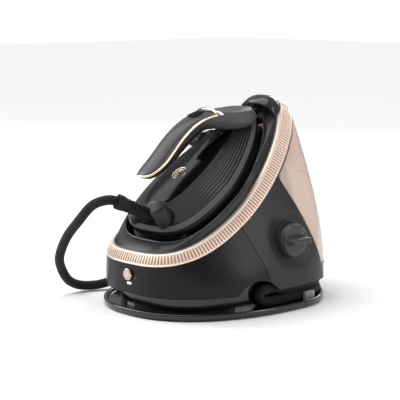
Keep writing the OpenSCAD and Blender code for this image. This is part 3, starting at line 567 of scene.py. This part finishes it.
def collar_loop(q):
    """One section of the collar: its slope from the ring inwards, its lip and inner wall, then its back."""
    away = abs((math.degrees(q) + 180) % 360 - 180 - 90)
    g = band_t + 2 + 2.2 * ease((20 - away) / 4)
    high, down = ring_hi(q, g), ring_hi(q, g + collar_t) - Vector((0, 0, collar_t))
    r, s, e = egg(q, rim_o), egg(q, rim_o, rim_t), egg(q, rim_o, 0.7)
    top, under = world(r.x, r.y, rim_n), world(e.x, e.y, rim_n - collar_t)
    swell = Vector((0, -1, 2))
    slope = [mix(high, top, t) + swell * 4 * t * (1 - t)
             for t in (0, 0.03, 0.1, 0.25, 0.4, 0.55, 0.7, 0.85, 0.94)]
    lip = [world(mix(r.x, s.x, t), mix(r.y, s.y, t), rim_n + h)
           for t, h in ((0, 0), (0.25, 0.3), (0.7, 0.3), (1, -0.3))]
    wall_in = [world(s.x, s.y, n) for n in (6, 1)] + [world(e.x, e.y, 1), under]
    back = [mix(down, under, t) + swell * 4 * t * (1 - t) for t in (0.7, 0.4, 0.2, 0)]
    return slope + lip + wall_in + back + [ring_lo(q, g + collar_t), ring_lo(q, g)]


loops = [collar_loop(FULL * i / 300) for i in range(300)]
collar = surface("collar_cover", loops + [loops[0]], wrap=True, heart=(0, 0, -4000), smooth=38)
collar_grey = moulded("satin_grey_collar", (0.034, 0.034, 0.035), 0.30, grain=1800, strength=0.06)
dress(collar, collar_grey, "base", "collar_grey", "collar")
# Painted highlight: a thin light grey tube along the collar's outer edge, where the edge catches the light.
edge_path = [ring_hi(mix(ring_from, ring_to, i / 300), band_t + 0.6) + Vector((0, 0, 0.2))
             for i in range(301)]
edge_highlight_strip = surface("collar_edge_highlight", tube_rows(edge_path, 1.0, 10), wrap=True, caps=True)
dress(edge_highlight_strip, moulded("painted_edge_highlight_grey", (0.16, 0.165, 0.17), 0.35), "base", "collar_grey")

# ---- platform ----------------------------------------------------------------------------------------
# The sloping plate under the iron, pierced to let heat out, with six soft silicone pads that hold the hot
# soleplate clear of it.
refinish(inner_black, "platform")
refinish(moulded("silicone_pad", (0.03, 0.03, 0.03), 0.6), "platform_pads")

# ---- nose hood and carry latch -----------------------------------------------------------------------
# A smoked clear moulding with a black lip that covers the iron's nose, clipped on the collar; under it the
# black latch turns on a steel pin and holds the iron when the base is carried.
hood_sections = [(224, 28, 34.5), (228, 28.5, 36), (236, 27.5, 35.5), (243, 24, 33), (249, 18.5, 28)]
hood_foot = 13.8


def arc_row(a, half, top, foot):
    """A squarish arch across the slope at a, from foot to foot over top."""
    turns = [math.pi * j / 40 for j in range(41)]
    return [world(half * spow(math.cos(q), 0.8), a, foot + (top - foot) * spow(math.sin(q), 0.8))
            for q in turns]


hood = surface("nose_hood_cover", [arc_row(*s, hood_foot) for s in curve(hood_sections, 1.2)],
               heart=world(0, 236, 5), wall=2.2)
smoke = Finish("smoked_clear_moulding", IOR=1.4, Coat_Weight=0.15, Alpha=0.86)
haze = smoke.noise(12, 2)
smoke.feed(Base_Color=smoke.blend(haze, (0.030, 0.030, 0.031, 1), (0.044, 0.044, 0.045, 1)),
           Roughness=0.10 + 0.05 * haze)
dress(hood, smoke.material, "base", "hood_smoke", "nose_hood")
latch_black = moulded("latch_black", (0.008, 0.008, 0.008), 0.4)
lip_path = arc_row(224.6, 27.2, 34.0, hood_foot + 1.6)
lip = surface("nose_hood_lip", tube_rows(lip_path, 1.5, 10), wrap=True, caps=True)
dress(lip, latch_black, "base", "hood_smoke")
refinish(latch_black, "latch_lever")
steel = metal("bright_steel", (0.62, 0.62, 0.63), 0.25)
refinish(steel, "latch_pin", "latch_spring", "button_spring", "door_pin", "trigger_spring")

# ---- boiler and inner works --------------------------------------------------------------------------
# What stands under the covers: a steel boiler on zinc mounts with its heater, the pump, valves, tubes and
# boards. Each keeps the shape that it is fitted by, in its own plain finish.
refinish(metal("boiler_steel", (0.55, 0.55, 0.56), 0.35, (1, 14, 14)), "boiler", "drain_pipe")
refinish(metal("zinc_plate", (0.50, 0.52, 0.55), 0.40), "boiler_mounts", "body_screws")
refinish(metal("cast_aluminium", (0.60, 0.60, 0.61), 0.45), "boiler_heater", "steam_chamber")
refinish(metal("valve_brass", (0.70, 0.48, 0.20), 0.30), "safety_valve")
refinish(moulded("pump_grey", (0.18, 0.18, 0.19), 0.5), "pump")
refinish(moulded("coil_blue", (0.02, 0.05, 0.12), 0.4), "steam_valve", "trigger_switch")
refinish(moulded("board_green", (0.01, 0.10, 0.04), 0.35), "main_board", "control_board")
refinish(moulded("milky_tube", (0.55, 0.56, 0.56), 0.35), "water_tubes", "steam_tube")
refinish(moulded("seal_red", (0.30, 0.05, 0.02), 0.6), "plug_seal")

# ---- power button ------------------------------------------------------------------------------------
# A round push button with a lit milky centre in a rose plated ring, at the front. Round it the shell is
# printed with plain signs: a leaf-like oval, a bar and an arc.
button_place = (0, -135, 50)
rose = metal("rose_plating", (0.80, 0.62, 0.55), 0.24)


def turned(name, outline, place, turn, sides=64):
    """A turned piece: a given outline of (radius, height) spun round its axis, then put in its place."""
    turns = [FULL * j / sides for j in range(sides)]
    rows = [[Vector((r * math.cos(q), r * math.sin(q), h)) for q in turns] for r, h in outline]
    piece = surface(name, rows, wrap=True, caps=True, smooth=35)
    piece.rotation_euler = turn
    piece.location = Vector(place) * MM
    bpy.ops.object.transform_apply(location=True, rotation=True, scale=True)
    return piece


rim_outline = [(5.15, 3.1), (5.15, 5.0), (5.5, 5.5), (6.2, 5.6), (6.9, 5.2), (7.1, 4.6), (7.1, 2.6),
               (5.15, 2.4)]
rim = turned("power_button_rim", rim_outline, button_place, (quarter, 0, 0))
dress(rim, rose, "base", "button_rose", "button_ring")
lit = Finish("lit_milky_plastic", Emission_Strength=0.18, Emission_Color=(1.0, 0.93, 0.88, 1),
             Base_Color=(0.50, 0.44, 0.42, 1))
lit.feed(Roughness=0.3 + 0.1 * lit.noise(600, 2))
cap_outline = [(4.2, 4.7), (4.8, 4.9), (4.8, 5.4), (4.4, 5.9), (3.4, 6.0), (3.0, 5.85), (1.2, 5.8)]
press = turned("power_button_cap", cap_outline, button_place, (quarter, 0, 0))
dress(press, lit.material, "power_button", "button_lit", "power_button")


def sign(name, points, radius, finish):
    """A raised printed line on the front of the shell, through points given as (x, z)."""
    path = []
    for x, z in points:
        q = zero(lambda q: wall(q, z).x - x, math.radians(-140), math.radians(-40))
        path.append(wall(q, z) + Vector((0, -0.02, 0)))
    piece = surface(name, tube_rows(curve(path, 0.5), radius, 8), wrap=True, caps=True)
    return dress(piece, finish, "base", "shell_black")


def oval(x, z, half_x, half_z, turns):
    """Points of an oval round x and z, at the turns given in degrees."""
    return [(x + half_x * math.cos(math.radians(d)), z + half_z * math.sin(math.radians(d))) for d in turns]


print_grey = moulded("printed_grey", (0.30, 0.30, 0.305), 0.5)
sign("sign_arc", oval(0, 41, 6, 3.2, range(200, 341, 20)), 0.22, print_grey)
sign("sign_bar", [(10.2, 46.5), (12.6, 46.5)], 0.5, print_grey)
sign("sign_drop", oval(-11.5, 47, 1.3, 1.7, range(0, 361, 30)), 0.25, print_grey)
lens = Finish("white_lens", Emission_Strength=0.35, Emission_Color=(1, 1, 1, 1),
              Base_Color=(0.8, 0.8, 0.8, 1))
lens.feed(Roughness=0.25 + 0.1 * lens.noise(500, 2))
refinish(lens.material, "indicator_lens")

# ---- descaling knob ----------------------------------------------------------------------------------
# A grey knob with a bar across it, screwed into the drain in the right side panel: half a turn and a pull
# open the boiler for rinsing. The disc carries a small round sign beside the bar.
knob_back = 101
knob_grey = moulded("knob_grey", (0.060, 0.060, 0.062), 0.34, grain=1600)
disc_outline = [(17.5, 0), (20.1, 0), (20.5, 0.5), (20.5, 9.4), (19.9, 10.6), (18.6, 11.1), (16.5, 11.2),
                (6, 11.0)]
disc = turned("descaling_knob_disc", disc_outline, (knob_back, knob_y, knob_z), (0, quarter, 0), 96)
dress(disc, knob_grey, "descaling_knob", "knob_grey", "descaling_knob")
bar_sections = [(9.5, 17.4, 6.2), (11.2, 17.2, 5.6), (13, 16.9, 4.9), (16, 16.7, 4.6), (20, 16.5, 4.4),
                (21.8, 16.2, 4.1), (22.7, 15.5, 3.4), (23, 14, 2.4)]
bar_rows = []
for x, half_y, half_z in bar_sections:
    bar_rows.append([Vector((knob_back + x, knob_y + half_y * spow(math.cos(FULL * j / 48), 0.45),
                             knob_z + half_z * spow(math.sin(FULL * j / 48), 0.55))) for j in range(48)])
bar = surface("descaling_knob_bar", bar_rows, wrap=True, caps=True, smooth=35)
dress(bar, knob_grey, "descaling_knob", "knob_grey")
sign_ring = turned("descaling_knob_sign", [(2.6, 0), (2.6, 0.25), (3.1, 0.3), (3.4, 0.15), (3.4, 0)],
                   (knob_back + 11.0, knob_y + 10.5, knob_z + 10.5), (0, quarter, 0), 40)
dress(sign_ring, print_grey, "descaling_knob", "knob_grey")
refinish(knob_grey, "drain_plug")

# ---- water tank --------------------------------------------------------------------------------------
# The removable tank at the back, blow moulded in copper tinted clear plastic, with a level wall on its
# inside. A hinged door of the same tint closes the filling hole, and a spring valve sits at its foot.
tank_low, tank_high, tank_wall = 47, 232, 2.4


def ring_y(z):
    return zero(lambda y: ring_z(y) - z, -ring_o[1], ring_o[2])


def tank_loop(z, d, cols=44, flat=12):
    """A level section of the tank, d inside its outer face: round the back, then along the flat front."""
    y = max(tank_line(z) + seam, ring_y(min(z + 3.5, ring_low + ring_rise))) + 1.25 * d
    first = zero(lambda q: wall(q, z, d).y - y, math.radians(-60), math.radians(88))
    round_back = [wall(mix(first, math.pi - first, i / cols), z, d) for i in range(cols + 1)]
    return round_back + [mix(round_back[-1], round_back[0], i / flat) for i in range(1, flat)]


levels = [mix(tank_low, tank_high, ease(j / 44) * 0.3 + 0.7 * j / 44) for j in range(45)]
tank = surface("water_tank_body", [tank_loop(z, 0) for z in levels], wrap=True, caps=True,
               heart=(0, 118, 120), wall=tank_wall)
tint = Finish("copper_tinted_plastic", Transmission_Weight=0.6, IOR=1.3, Coat_Weight=0.2, Coat_Roughness=0.1)
depth = tint.noise(7, 2)
tint.feed(Base_Color=tint.blend(depth, (1.0, 0.84, 0.73, 1), (1.0, 0.90, 0.82, 1)),
          Roughness=0.16 + 0.08 * depth)
dress(tank, tint.material, "water_tank", "tank_copper", "water_tank")
backing_rows = []
for z in (tank_low + 4, 90, 130, 170, 205):
    level = tank_loop(z, 3.2)
    backing_rows.append([mix(level[-12], level[0], 1 - i / 12) for i in range(13)])
backing = surface("water_tank_front_wall", backing_rows, wall=1.0, smooth=30)
dress(backing, moulded("peach_inner_wall", (0.98, 0.76, 0.62), 0.35), "water_tank", "tank_copper")
deep_tint = moulded("deeper_copper_tint", (0.62, 0.38, 0.27), 0.3)
for height in (182, 160):
    line = tank_loop(height, -0.1)[4:41]
    shelf = surface("water_tank_line_%d" % height, tube_rows(line, 0.5, 8), wrap=True, caps=True)
    dress(shelf, deep_tint, "water_tank", "tank_copper")
door_outline = [(17, 0), (18, 0.3), (18, 1.9), (17.4, 2.5), (15.5, 2.7), (13.5, 2.4), (4, 2.6)]
door = turned("filling_door_lid", door_outline, (0, 137.5, 178), (-quarter, 0, 0), 72)
dress(door, tint.material, "filling_door", "door_copper")
refinish(tint.material, "filling_door")
refinish(moulded("valve_grey", (0.42, 0.44, 0.45), 0.4), "tank_valve")

# ---- hose clip ---------------------------------------------------------------------------------------
# A small ribbed grey clip on the tray's right rim that holds the stored fold of the hose.
refinish(moulded("clip_grey", (0.42, 0.43, 0.44), 0.4), "hose_clip")

# ---- soleplate and skirt -----------------------------------------------------------------------------
# The polished soleplate and the cast steam chamber close the iron from below; a black heat skirt runs
# round the edge between them and the cover.
skirt_o = (135, 5, 217, 84, 3.1, 1.32)
refinish(metal("ceramic_soleplate", (0.35, 0.36, 0.37), 0.22, (1, 10, 10)), "soleplate")


def skirt_loop(d, n, count=240):
    return [world(p.x, p.y, n) for p in (egg(FULL * i / count, skirt_o, d) for i in range(count))]


skirt_section = [(4.4, 7.6), (2.5, 7.6), (1.1, 8.6), (0.2, 10.6), (0, 12), (0, 17.4), (0.3, 18.5), (1.2, 19),
                 (3.2, 19), (3.2, 9.6)]
skirt_rows = [skirt_loop(d, n) for d, n in skirt_section + skirt_section[:1]]
skirt = surface("heat_skirt_cover", skirt_rows, wrap=True, heart=world(0, 84, 300), smooth=40)
dress(skirt, moulded("skirt_black", (0.007, 0.007, 0.007), 0.32), "iron", "skirt_black", "heat_skirt")

# ---- iron cover --------------------------------------------------------------------------------------
# The gloss black cover of the iron, one moulding. It swells from the skirt to a long ridge under the handle
# and has fine grooves that follow its smooth grey border on both flanks. A badge of three rings is on top.
crown_o = (62, -20, 176, 84, 2.6, 1.7)
cover_low, cover_top, dome, ridge_a, badge_a = 19.4, 40.0, 4.0, 88, 74
grooves, groove_from, groove_to = 8, 0.16, 0.80
groove_fields = ((24, 46), (156, 46), (232, 30))  # middle and half width of each, in degrees


def cover(q, n, d=0.0):
    k = clamp((n - 19) / 21) ** 1.25
    p = mix(egg(q, skirt_o, d), egg(q, crown_o, d), k)
    return world(p.x, p.y, n)


def groove_at(q, v):
    """How deep the cover is grooved at angle q and level v, from 0 to 1."""
    turn = math.degrees(q)
    side = min(abs((turn - middle + 180) % 360 - 180) / half for middle, half in groove_fields)
    window = ease((1 - side) * 2.6) * ease((v - groove_from) / 0.03) * ease((groove_to - v) / 0.03)
    across = grooves * (v - groove_from) / (groove_to - groove_from)
    return window * (0.5 - 0.5 * math.cos(FULL * across)) ** 3


def border(q, v):
    """1 on the smooth grey border along the cover's foot and over its nose, 0 on the black inset."""
    from_nose = abs(math.degrees(q) - 90)
    return max(ease((groove_from - 0.01 - v) / 0.015), ease((21 - from_nose) / 2))


rows, tones = [], []
for j in range(133):  # up the flank to level 1, and then in over the crown to the middle of the ridge
    v = j / 120
    line, marks = [], []
    for i in range(320):
        q = FULL * i / 320
        if v <= 1:
            cut = groove_at(q, v)
            line.append(cover(q, mix(cover_low, cover_top, 1 - (1 - v) ** 1.6), 0.9 * cut))
        else:
            crown, t = egg(q, crown_o), (v - 1) * 10
            cut = 0.0
            line.append(world(crown.x * (1 - t), mix(crown.y, ridge_a, t),
                              cover_top + dome * (1 - (1 - t) ** 2)))
        # The tone is the groove depth, which the finish paints as a light line (painted highlight), or 1 on
        # the grey border.
        marks.append(max(cut, border(q, v)))
    rows.append(line)
    tones.append(marks)
iron_cover = surface("iron_cover", rows, wrap=True, heart=world(0, 84, 10), smooth=60, tones=tones)
gloss = Finish("gloss_black_cover", IOR=1.45, Specular_IOR_Level=0.17, Coat_Weight=0.05, Coat_Roughness=0.05)
cut = gloss.node("ShaderNodeAttribute", {"attribute_name": "tone"}, {}, "Fac")
cloud = gloss.noise(11, 3)
# Painted highlight: the grooves take the border's lighter grey as light lines on the black; the border's grey
# is its own colour.
gloss.feed(Base_Color=gloss.blend(cut, (0.0045, 0.0045, 0.0048, 1), (0.09, 0.09, 0.09, 1)),
           Roughness=0.16 + 0.08 * cloud + 0.25 * cut)
dress(iron_cover, gloss.material, "iron", "iron_gloss", "iron_body")
for radius, name in ((9.3, "outer"), (6.2, "middle"), (3.2, "inner")):
    loop = []
    for i in range(61):
        x, a = radius * math.cos(FULL * i / 60), badge_a + radius * math.sin(FULL * i / 60)
        fall = (x / 31) ** 2 + ((ridge_a - a) / 68) ** 2
        loop.append(world(x, a, cover_top + dome * (1 - fall) + 0.1))
    badge = surface("badge_ring_" + name, tube_rows(loop, 0.5, 8), wrap=True)
    dress(badge, rose, "iron", "badge_copper", *(["badge_ring"] if name == "outer" else []))

# ---- handle ------------------------------------------------------------------------------------------
# A grip of two mouldings, a core and a satin grey top shell, joined along a cream gold bead. The core turns
# from black to grey as it runs down over the iron's ridge to the nose, and carries the steam trigger. Each
# section has its place up the slope, the bead's height, a half width, and its top and underside.
grip = [(24, 80, 4.5, 81.6, 77.5), (27, 79, 9, 83, 74), (32, 78, 12, 84, 70.5), (42, 77, 14, 85, 67.5),
        (56, 77, 14.5, 86.6, 65), (70, 79, 14.5, 88.8, 64), (84, 81.5, 14.5, 90.5, 64.5),
        (98, 83, 14.5, 91.2, 65), (116, 83, 14.5, 89.8, 65.5), (132, 80.5, 15.5, 86, 63),
        (144, 76.5, 17, 81, 56), (152, 72.5, 18.5, 77, 50)]
neck = [(154, 71.5, 19, 77, 48), (162, 66, 23, 72, 40.5), (174, 57, 27, 63.5, 32), (188, 47, 26, 55, 24),
        (200, 39, 22, 48, 21), (209, 33, 15, 41.5, 20.2), (214, 28, 9, 36, 20)]


def finer(sections, parts):
    """Sections set between given ones, each number on its own smooth curve."""
    last, fine = len(sections) - 1, []
    for i in range(last):
        a, b, c, d = (sections[min(last, max(0, k))] for k in range(i - 1, i + 3))
        for k in range(parts):
            t = k / parts
            fine.append(tuple(0.5 * (2 * q + (r - p) * t + (2 * p - 5 * q + 4 * r - s) * t * t
                                     + (3 * q - p - 3 * r + s) * t ** 3) for p, q, r, s in zip(a, b, c, d)))
    return fine + [sections[-1]]


core_sides = 48


def core_row(a, line, half, top, low):
    """One section of the core: nearly flat under the shell on the grip, arched over the neck."""
    over = ease((a - 150) / 8)
    row = []
    for j in range(core_sides):
        p = FULL * j / core_sides
        rise = mix(-0.6, top - line, over) if j < core_sides / 2 else line - low
        row.append(world((half - 0.2) * spow(math.cos(p), mix(0.9, 0.62, over)), a,
                         line + rise * spow(math.sin(p), mix(0.75, 0.62, over))))
    return row


sections = finer(grip[1:] + neck, 5)
core = surface("handle_core_cover", [core_row(*s) for s in sections], wrap=True, caps=True, smooth=50,
               tones=[[ease((s[0] - 122) / 34)] * core_sides for s in sections])
handle_black = moulded("handle_black", (0.012, 0.012, 0.0125), 0.33, grain=1600)
nose_grey = Finish("handle_to_nose", IOR=1.45, Specular_IOR_Level=0.3)
paler = nose_grey.node("ShaderNodeAttribute", {"attribute_name": "tone"}, {}, "Fac")
nose_grey.feed(Base_Color=nose_grey.blend(paler, (0.012, 0.012, 0.0125, 1), (0.085, 0.085, 0.086, 1)),
               Roughness=0.34 + 0.06 * nose_grey.noise(9, 3))
dress(core, nose_grey.material, "iron", "handle_black", "handle_core")


def arch_row(a, line, half, top, width_power, rise_power, n):
    """An arch across the handle at a: n steps from one side at height line, over top, to the other side."""
    turns = [math.pi * j / n for j in range(n + 1)]
    rise = top - line
    return [world(half * spow(math.cos(q), width_power), a, line + rise * spow(math.sin(q), rise_power))
            for q in turns]


handle_grey = moulded("satin_grey_handle", (0.085, 0.085, 0.087), 0.28, grain=2200, strength=0.05)
over_bead = 1.4
cap_rows = [arch_row(a, line + over_bead, half, max(top, line + over_bead + 0.3), 0.85, 0.85, 32)
            for a, line, half, top, _ in finer([g for g in grip if g[0] < 150], 6)]
cap = surface("handle_top", cap_rows, heart=world(0, 80, 40), wall=2, smooth=50)
dress(soften(cap, 0.5), handle_grey, "iron", "handle_grey", "handle_shell")
bead_section = ((-1.4, 0.1), (0.6, -0.6), (1.5, -0.5), (1.9, 0.4), (1.7, 1.6), (0.7, 2.2), (-1.4, 1.6))
side = [(half, a, line) for a, line, half, _, _ in finer(grip, 5)] + [(15.5, 153.5, 76.2), (9, 155.5, 78.2)]
loop = side + [(-x, a, n) for x, a, n in reversed(side)]
bead = []
for i, (x, a, n) in enumerate(loop):
    before, after = loop[i - 1], loop[(i + 1) % len(loop)]
    across = Vector((after[1] - before[1], before[0] - after[0])).normalized()
    out = 1 if across.x * x >= 0 else -1
    bead.append([world(x + out * across.x * w, a + out * across.y * w, n + h) for w, h in bead_section])
trim = surface("handle_trim_bead", bead + [bead[0]], wrap=True, heart=world(0, 80, 84), smooth=50)
gold = metal("cream_gold_plating", (0.86, 0.74, 0.56), 0.24)
dress(trim, gold, "iron", "trim_gold", "trim_loop")
stripe_rows = [arch_row(a, line, half, top, 0.66, 0.62, 30)
               for a, line, half, top in finer([(155, 71.3, 19.65, 77.3), (159, 68.5, 21.45, 74.7)], 4)]
stripe = surface("handle_light_stripe", stripe_rows, heart=world(0, 157, 60), wall=0.4)
dress(stripe, lens.material, "iron", "trim_gold")
refinish(handle_black, "steam_trigger")
refinish(latch_black, "mode_switch", "trigger_pin")

# ---- heel and hose relief ----------------------------------------------------------------------------
# Two grey posts let the iron stand on its heel. The hose leaves between them through a ribbed rubber
# relief that ends in a cuff.
refinish(moulded("post_grey", (0.028, 0.028, 0.029), 0.28), "heel_posts")
refinish(moulded("relief_rubber", (0.010, 0.010, 0.010), 0.5), "hose_relief")

# ---- floor and light ---------------------------------------------------------------------------------
# A plain white table under a white sky, with a broad soft sun overhead, a lamp on each side and one behind.
# Only the lens sees the sky at full strength, so that it doesn't wash out the blacks.
bpy.ops.mesh.primitive_plane_add(size=14, location=(0, 0, 0))
floor = bpy.context.object
floor.name = "floor"
paper = Finish("white_table", IOR=1.3)
paper.feed(Base_Color=paper.blend(paper.noise(2, 2), (0.90, 0.90, 0.90, 1), (0.93, 0.93, 0.93, 1)),
           Roughness=0.8 + 0.05 * paper.noise(5, 2))
floor.data.materials.append(paper.material)
studio = bpy.data.worlds.new("studio")
bpy.context.scene.world = studio
studio.use_nodes = True
sky = next(n for n in studio.node_tree.nodes if n.type == "BACKGROUND")
seen = studio.node_tree.nodes.new("ShaderNodeLightPath")
level = studio.node_tree.nodes.new("ShaderNodeMapRange")
level.inputs["To Min"].default_value = 0.30
level.inputs["To Max"].default_value = 1.0
studio.node_tree.links.new(seen.outputs["Is Camera Ray"], level.inputs["Value"])
studio.node_tree.links.new(level.outputs["Result"], sky.inputs["Strength"])
sky.inputs["Color"].default_value = (1, 1, 1, 1)
bpy.ops.object.light_add(type="SUN", location=(-2, -1, 4), rotation=(math.radians(18), math.radians(-22), 0))
daylight = bpy.context.object
daylight.data.energy = 2.6
daylight.data.angle = math.radians(70)


def lamp(name, place, size, power):
    bpy.ops.object.light_add(type="AREA", location=place)
    light = bpy.context.object
    light.name = name
    light.data.shape = "RECTANGLE"
    light.data.size, light.data.size_y = size
    light.data.energy = power
    light.rotation_euler = (Vector(place) - Vector((0, 0, 0.12))).to_track_quat("Z", "Y").to_euler()


lamp("left", (-1.3, -0.7, 0.9), (0.5, 1.1), 9)
lamp("right", (1.5, 0.6, 0.7), (0.4, 1.0), 7)
lamp("back", (-0.5, 1.5, 0.9), (1.0, 0.7), 9)
bpy.context.scene.view_settings.view_transform = "Standard"
